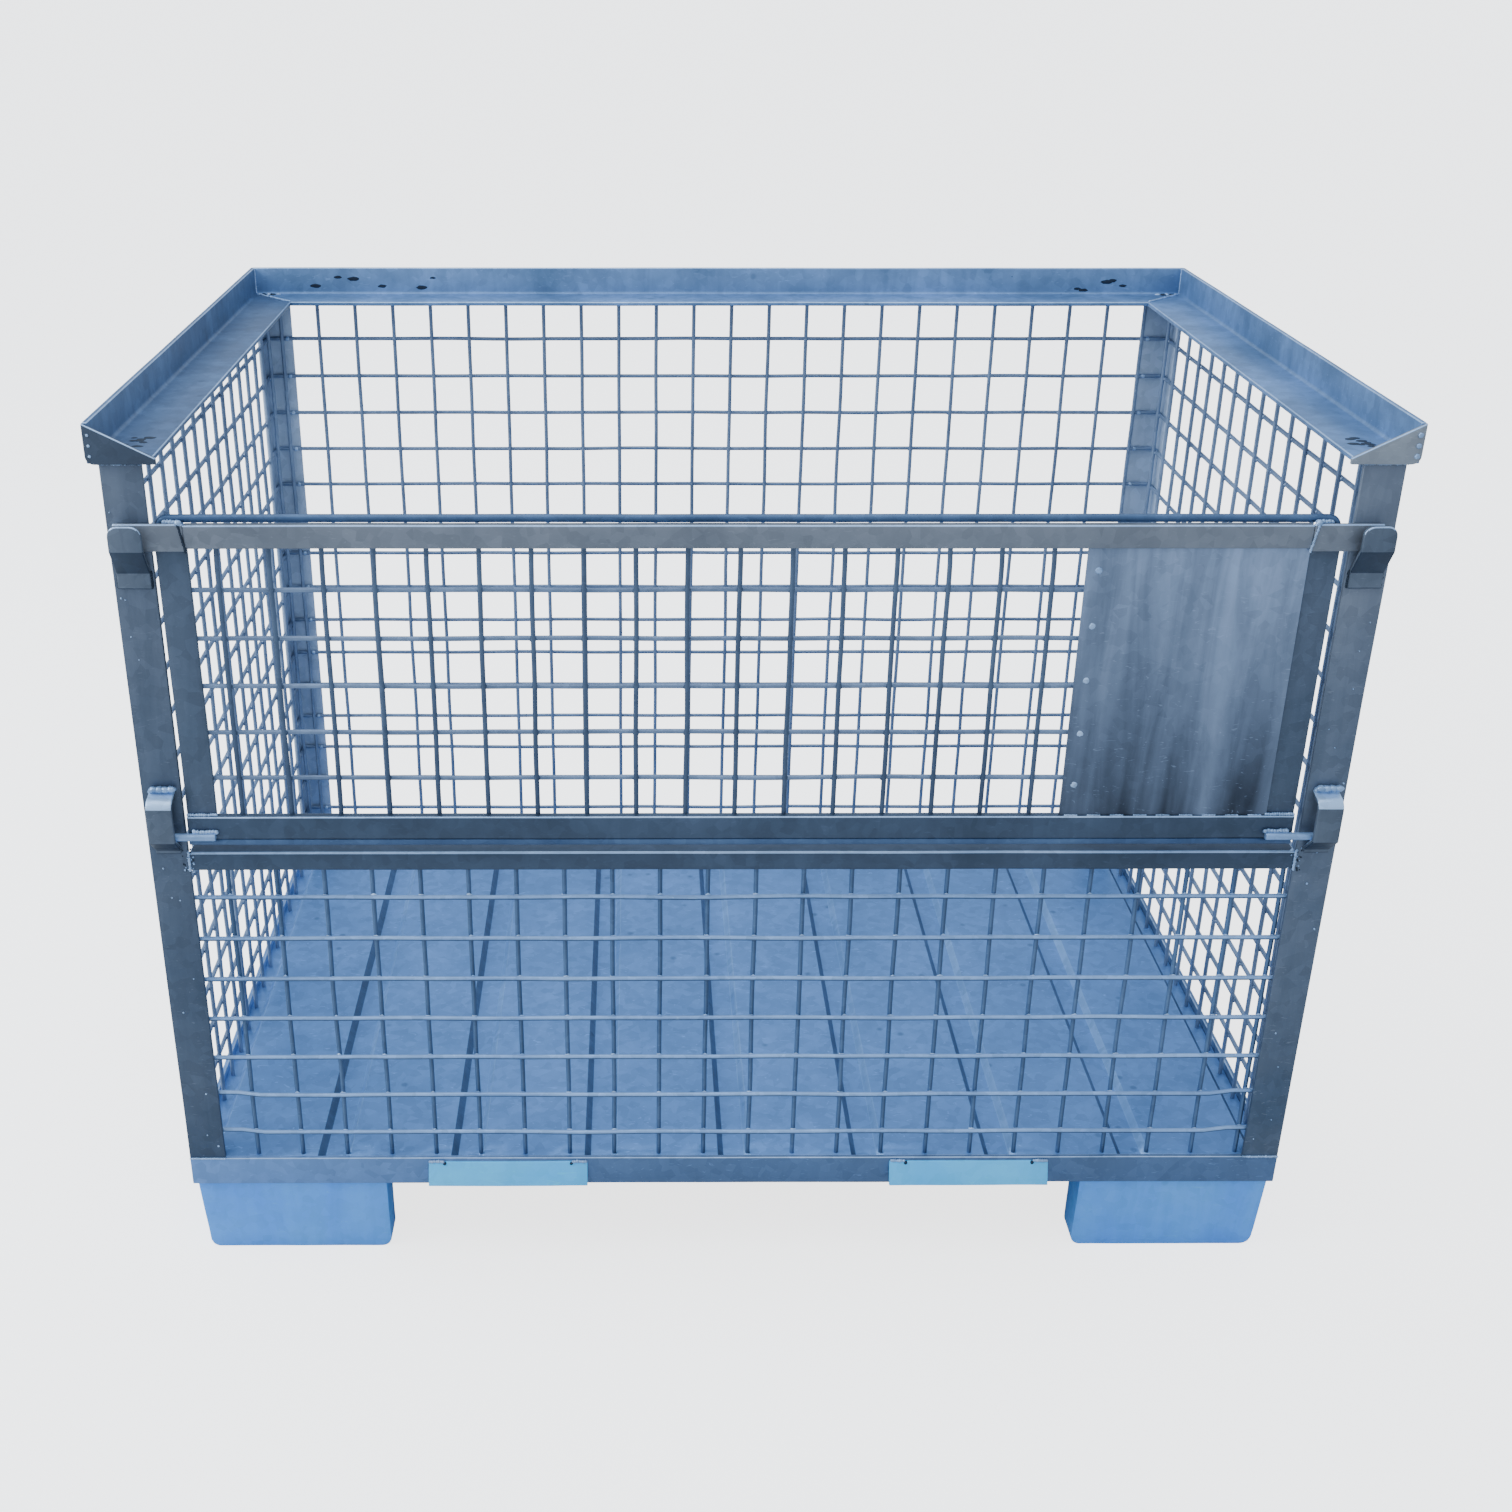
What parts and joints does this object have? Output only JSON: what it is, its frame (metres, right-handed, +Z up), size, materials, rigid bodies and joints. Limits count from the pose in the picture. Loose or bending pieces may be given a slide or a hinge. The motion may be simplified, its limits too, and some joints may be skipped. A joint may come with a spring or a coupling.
{
  "type": "wire mesh container",
  "caption": "Stackable galvanised wire mesh box pallet with four feet, a stacking rim and an upper front gate that lifts out of its hooks and folds down.",
  "frame": {"origin": "on the ground under the middle of the whole box", "axes": "+X to the right seen from the gate, +Y from the gate to the back wall, +Z up"},
  "size_m": [1.24, 0.835, 0.97],
  "materials": {
    "section": "dull galvanised",
    "sheet": "bright galvanised",
    "wire": "galvanised drawn wire"
  },
  "bodies": {
    "root": {"floor_sheet": "sheet", "bearer_front": "section", "bearer_middle": "section", "bearer_rear": "section", "base_rail_front": "section", "base_rail_rear": "section", "base_rail_left": "section", "base_rail_right": "section", "foot_front_left": "sheet", "foot_front_right": "sheet", "foot_rear_left": "sheet", "foot_rear_right": "sheet", "post_front_left": "section", "post_front_right": "section", "post_rear_left": "section", "post_rear_right": "section", "rim_left": "section", "rim_right": "section", "rim_rear": "section", "rim_end_plate_left": "section", "rim_end_plate_right": "section", "mesh_rear": "wire", "mesh_left": "wire", "mesh_right": "wire", "mesh_lower_front": "wire", "panel_rail": "section", "fork_guide_left": "sheet", "fork_guide_right": "sheet", "hook_left": "section", "hook_right": "section", "hinge_strap_left": "section", "hinge_strap_right": "section"},
    "gate_pins": {"hinge_pin_left": "wire", "hinge_pin_right": "wire"},
    "gate": {"gate_top_rail": "section", "gate_bottom_rail": "section", "gate_side_bar_left": "section", "gate_side_bar_right": "section", "gate_top_rod": "wire", "gate_bottom_rod": "wire", "gate_side_rod_left": "wire", "gate_side_rod_right": "wire", "gate_lug_left": "section", "gate_lug_right": "section", "gate_mesh": "wire", "label_plate": "sheet"}
  },
  "joints": [
    {"name": "gate_lift", "type": "slide", "parent": "root", "child": "gate_pins", "axis": [0, 0, 1], "range_m": [0, 0.032]},
    {"name": "gate_swing", "type": "hinge", "parent": "gate_pins", "child": "gate", "pos_m": [0, -0.4058, 0.5455], "axis": [1, 0, 0], "range_deg": [0, 180]}
  ]
}
